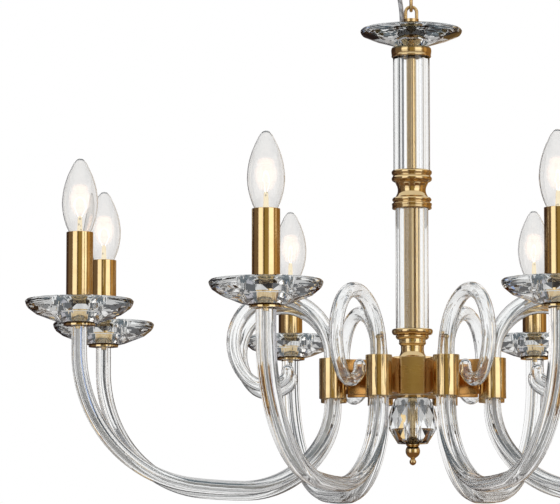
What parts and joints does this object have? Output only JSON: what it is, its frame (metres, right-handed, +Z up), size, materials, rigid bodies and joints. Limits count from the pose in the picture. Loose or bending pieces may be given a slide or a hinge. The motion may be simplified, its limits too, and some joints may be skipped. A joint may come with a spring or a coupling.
{
  "type": "chandelier",
  "caption": "Chandelier with a glass and brass column, upswept ribbed glass arms, glass scrolls, cut crystal dishes and candle lamps, hung on a short chain from a ceiling rose",
  "frame": {"origin": "middle of the ceiling bracket's upper face, on the ceiling and on the column's axis", "axes": "+Z up to the ceiling; a flat of the octagonal hub faces -Y; the arms stand at 22.5 degrees plus multiples of 45 degrees from +X"},
  "size_m": [0.748, 0.748, 0.6438],
  "materials": {
    "antique_brass": "satin antique brass",
    "clear_glass": "clear ribbed glass",
    "cut_crystal": "faceted clear crystal",
    "bulb_glass": "clear lit lamp glass",
    "lamp_holder_plastic": "matt heat-resistant plastic",
    "clear_flex": "clear PVC over tinned wire",
    "gland_plastic": "clear plastic bush",
    "zinc_steel": "zinc plated"
  },
  "bodies": {
    "ceiling_rose": {"ceiling_bracket": "zinc_steel", "ceiling_canopy": "antique_brass", "ceiling_loop": "antique_brass", "cord_gland": "gland_plastic", "supply_cord": "clear_flex"},
    "top_link": {"chain_link_3": "antique_brass"},
    "middle_link": {"chain_link_2": "antique_brass"},
    "bottom_link": {"chain_link_1": "antique_brass"},
    "chandelier": {"finial": "antique_brass", "crystal_ball": "cut_crystal", "hub_base": "antique_brass", "hub_body": "antique_brass", "hub_neck": "antique_brass", "centre_tube": "antique_brass", "stem_sleeve": "antique_brass", "lower_glass": "clear_glass", "mid_collar": "antique_brass", "upper_glass": "clear_glass", "column_cap": "antique_brass", "top_dish": "cut_crystal", "loop_nut": "antique_brass", "hang_loop": "antique_brass", "candle_sleeves": "antique_brass", "candle_cups": "antique_brass", "lamp_holders": "lamp_holder_plastic", "arm_clamps": "antique_brass", "scroll_pins": "antique_brass", "arm_wires": "clear_flex", "arm_1": "clear_glass", "arm_2": "clear_glass", "arm_3": "clear_glass", "arm_4": "clear_glass", "arm_5": "clear_glass", "arm_6": "clear_glass", "arm_7": "clear_glass", "arm_8": "clear_glass", "scroll_1": "clear_glass", "scroll_2": "clear_glass", "scroll_3": "clear_glass", "scroll_4": "clear_glass", "scroll_5": "clear_glass", "scroll_6": "clear_glass", "scroll_7": "clear_glass", "scroll_8": "clear_glass", "dish_1": "cut_crystal", "dish_2": "cut_crystal", "dish_3": "cut_crystal", "dish_4": "cut_crystal", "dish_5": "cut_crystal", "dish_6": "cut_crystal", "dish_7": "cut_crystal", "dish_8": "cut_crystal"},
    "lamp_1": {"bulb_1": "bulb_glass"},
    "lamp_2": {"bulb_2": "bulb_glass"},
    "lamp_3": {"bulb_3": "bulb_glass"},
    "lamp_4": {"bulb_4": "bulb_glass"},
    "lamp_5": {"bulb_5": "bulb_glass"},
    "lamp_6": {"bulb_6": "bulb_glass"},
    "lamp_7": {"bulb_7": "bulb_glass"},
    "lamp_8": {"bulb_8": "bulb_glass"}
  },
  "joints": [
    {"name": "rose_swing", "type": "hinge", "parent": "ceiling_rose", "child": "top_link", "pos_m": [0, 0, -0.058], "axis": [1, 0, 0], "range_deg": [-15, 15]},
    {"name": "top_link_swing", "type": "hinge", "parent": "top_link", "child": "middle_link", "pos_m": [0, 0, -0.0895], "axis": [0, 1, 0], "range_deg": [-15, 15]},
    {"name": "middle_link_swing", "type": "hinge", "parent": "middle_link", "child": "bottom_link", "pos_m": [0, 0, -0.121], "axis": [1, 0, 0], "range_deg": [-15, 15]},
    {"name": "body_swing", "type": "hinge", "parent": "bottom_link", "child": "chandelier", "pos_m": [0, 0, -0.1525], "axis": [0, 1, 0], "range_deg": [-15, 15], "deforming": ["supply_cord"]},
    {"name": "bulb_1_unscrew", "type": "slide", "parent": "chandelier", "child": "lamp_1", "axis": [0, 0, 1], "range_m": [0, 0.03]},
    {"name": "bulb_2_unscrew", "type": "slide", "parent": "chandelier", "child": "lamp_2", "axis": [0, 0, 1], "range_m": [0, 0.03]},
    {"name": "bulb_3_unscrew", "type": "slide", "parent": "chandelier", "child": "lamp_3", "axis": [0, 0, 1], "range_m": [0, 0.03]},
    {"name": "bulb_4_unscrew", "type": "slide", "parent": "chandelier", "child": "lamp_4", "axis": [0, 0, 1], "range_m": [0, 0.03]},
    {"name": "bulb_5_unscrew", "type": "slide", "parent": "chandelier", "child": "lamp_5", "axis": [0, 0, 1], "range_m": [0, 0.03]},
    {"name": "bulb_6_unscrew", "type": "slide", "parent": "chandelier", "child": "lamp_6", "axis": [0, 0, 1], "range_m": [0, 0.03]},
    {"name": "bulb_7_unscrew", "type": "slide", "parent": "chandelier", "child": "lamp_7", "axis": [0, 0, 1], "range_m": [0, 0.03]},
    {"name": "bulb_8_unscrew", "type": "slide", "parent": "chandelier", "child": "lamp_8", "axis": [0, 0, 1], "range_m": [0, 0.03]}
  ]
}
